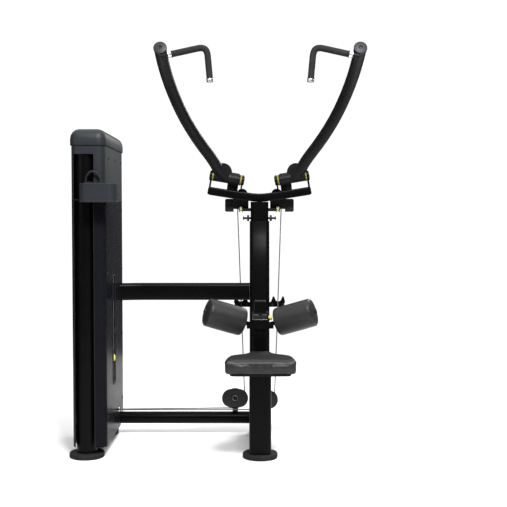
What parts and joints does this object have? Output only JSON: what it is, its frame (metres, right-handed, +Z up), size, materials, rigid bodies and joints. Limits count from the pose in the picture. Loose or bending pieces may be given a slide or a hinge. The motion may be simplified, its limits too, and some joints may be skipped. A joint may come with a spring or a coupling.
{
  "type": "lat pulldown machine",
  "caption": "Seated pulldown machine: two diverging lever arms with swivel handles, roller thigh pads and a cable-driven weight stack in a shrouded tower.",
  "frame": {"origin": "centre of the underside of the front foot, below the seat post", "axes": "+X to the right of someone facing the machine's front, +Y to its back, +Z up"},
  "size_m": [1.4851, 1.037, 2.0698],
  "materials": {
    "frame_paint": "satin black powder coat",
    "foot_rubber": "matt moulded rubber",
    "vinyl": "grained synthetic leather",
    "seat_board": "raw plywood edge, dark",
    "nylon": "matt nylon",
    "steel": "bright drawn steel",
    "arm_paint": "fine textured powder coat",
    "counterweight": "dark textured coating",
    "stack_paint": "dark grey hammer paint",
    "yellow_plastic": "satin moulded plastic",
    "smoked_plastic": "smoked transparent plastic",
    "grey_plastic": "fine spark-eroded grey plastic"
  },
  "bodies": {
    "frame": {"seat_post": "frame_paint", "main_column": "frame_paint", "base_spine": "frame_paint", "lower_beam": "frame_paint", "upper_beam": "frame_paint", "pad_stem": "frame_paint", "head_post": "frame_paint", "crossbar": "frame_paint", "tower_front_post": "frame_paint", "tower_rear_post": "frame_paint", "tower_base_frame": "frame_paint", "tower_top_frame": "frame_paint", "pulley_bracket_left": "frame_paint", "pulley_bracket_right": "frame_paint", "front_foot": "foot_rubber", "column_foot": "foot_rubber", "tower_front_foot": "foot_rubber", "tower_rear_foot": "foot_rubber", "seat_pad": "vinyl", "seat_board": "seat_board", "cross_bolt": "nylon", "pivot_shaft_left": "steel", "pivot_shaft_right": "steel", "guide_rod_front": "steel", "guide_rod_rear": "steel", "cable_left": "steel", "cable_right": "steel", "stack_plate_1": "stack_paint", "stack_plate_2": "stack_paint", "stack_plate_3": "stack_paint", "stack_plate_4": "stack_paint", "stack_plate_5": "stack_paint", "stack_plate_6": "stack_paint", "shroud_user_side": "smoked_plastic", "shroud_outer_side": "smoked_plastic", "upper_housing": "grey_plastic", "tower_cap": "grey_plastic", "bottle_holder": "grey_plastic", "towel_hook": "grey_plastic"},
    "arm_left": {"arm_left": "arm_paint", "counterweight_left": "counterweight"},
    "arm_right": {"arm_right": "arm_paint", "counterweight_right": "counterweight"},
    "handle_left": {"handle_left": "arm_paint"},
    "handle_right": {"handle_right": "arm_paint"},
    "weight_stack": {"lifted_plate_1": "stack_paint", "lifted_plate_2": "stack_paint", "selector_rod": "steel", "cable_drop_left": "steel", "cable_drop_right": "steel"},
    "selector_pin": {"selector_pin": "yellow_plastic"},
    "thigh_carriage": {"thigh_carriage": "frame_paint"},
    "pop_pin": {"pop_pin": "yellow_plastic"},
    "thigh_pad_left": {"thigh_pad_left": "vinyl"},
    "thigh_pad_right": {"thigh_pad_right": "vinyl"},
    "lower_pulley_left": {"lower_pulley_left": "nylon"},
    "lower_pulley_right": {"lower_pulley_right": "nylon"},
    "tower_base_pulley": {"tower_base_pulley": "nylon"},
    "tower_top_pulley": {"tower_top_pulley": "nylon"}
  },
  "joints": [
    {"name": "arm_left_hinge", "type": "hinge", "parent": "frame", "child": "arm_left", "pos_m": [-0.183, 0.65, 1.423], "axis": [0.9863, 0, -0.165], "range_deg": [0, 70]},
    {"name": "arm_right_hinge", "type": "hinge", "parent": "frame", "child": "arm_right", "pos_m": [0.183, 0.65, 1.423], "axis": [0.9863, 0, 0.165], "range_deg": [0, 70]},
    {"name": "handle_left_swivel", "type": "hinge", "parent": "arm_left", "child": "handle_left", "pos_m": [-0.466, 0.006, 2.003], "axis": [0.977, 0, 0.213], "range_deg": [-90, 90]},
    {"name": "handle_right_swivel", "type": "hinge", "parent": "arm_right", "child": "handle_right", "pos_m": [0.466, 0.006, 2.003], "axis": [0.977, 0, -0.213], "range_deg": [-90, 90]},
    {"name": "stack_lift", "type": "slide", "parent": "frame", "child": "weight_stack", "axis": [0, 0, 1], "range_m": [0, 0.206], "deforming": ["cable_drop_left", "cable_drop_right"]},
    {"name": "selector_pin_pull", "type": "slide", "parent": "weight_stack", "child": "selector_pin", "axis": [1, 0, 0], "range_m": [0, 0.055]},
    {"name": "thigh_carriage_slide", "type": "slide", "parent": "frame", "child": "thigh_carriage", "axis": [0, 0, 1], "range_m": [-0.05, 0.05]},
    {"name": "pop_pin_pull", "type": "slide", "parent": "thigh_carriage", "child": "pop_pin", "axis": [1, 0, 0], "range_m": [0, 0.008], "stiffness_N_per_m": 400},
    {"name": "thigh_pad_left_roll", "type": "hinge", "parent": "thigh_carriage", "child": "thigh_pad_left", "pos_m": [-0.178, 0.06, 0.7], "axis": [0.9193, 0.2636, -0.2924], "continuous": true},
    {"name": "thigh_pad_right_roll", "type": "hinge", "parent": "thigh_carriage", "child": "thigh_pad_right", "pos_m": [0.178, 0.06, 0.7], "axis": [0.9193, -0.2636, 0.2924], "continuous": true},
    {"name": "lower_pulley_left_spin", "type": "hinge", "parent": "frame", "child": "lower_pulley_left", "pos_m": [-0.135, 0.48, 0.205], "axis": [0, -0.9781, 0.2079], "range_deg": [0, 225]},
    {"name": "lower_pulley_right_spin", "type": "hinge", "parent": "frame", "child": "lower_pulley_right", "pos_m": [0.028, 0.44, 0.205], "axis": [0, -0.9781, 0.2079], "range_deg": [0, 225]},
    {"name": "tower_base_pulley_spin", "type": "hinge", "parent": "frame", "child": "tower_base_pulley", "pos_m": [-0.812, 0.4285, 0.185], "axis": [0, -1, 0], "range_deg": [0, 360]},
    {"name": "tower_top_pulley_spin", "type": "hinge", "parent": "frame", "child": "tower_top_pulley", "pos_m": [-0.85, 0.325, 1.44], "axis": [-1, 0, 0], "range_deg": [0, 136]}
  ],
  "couplings": [
    {"joint": "stack_lift", "follows": "arm_left_hinge", "m_per_rad": 0.168},
    {"joint": "lower_pulley_left_spin", "follows": "arm_left_hinge", "ratio": 3.17},
    {"joint": "tower_base_pulley_spin", "follows": "arm_left_hinge", "ratio": 5.091},
    {"joint": "tower_top_pulley_spin", "follows": "arm_left_hinge", "ratio": 1.909},
    {"joint": "lower_pulley_right_spin", "follows": "arm_right_hinge", "ratio": 3.17}
  ]
}
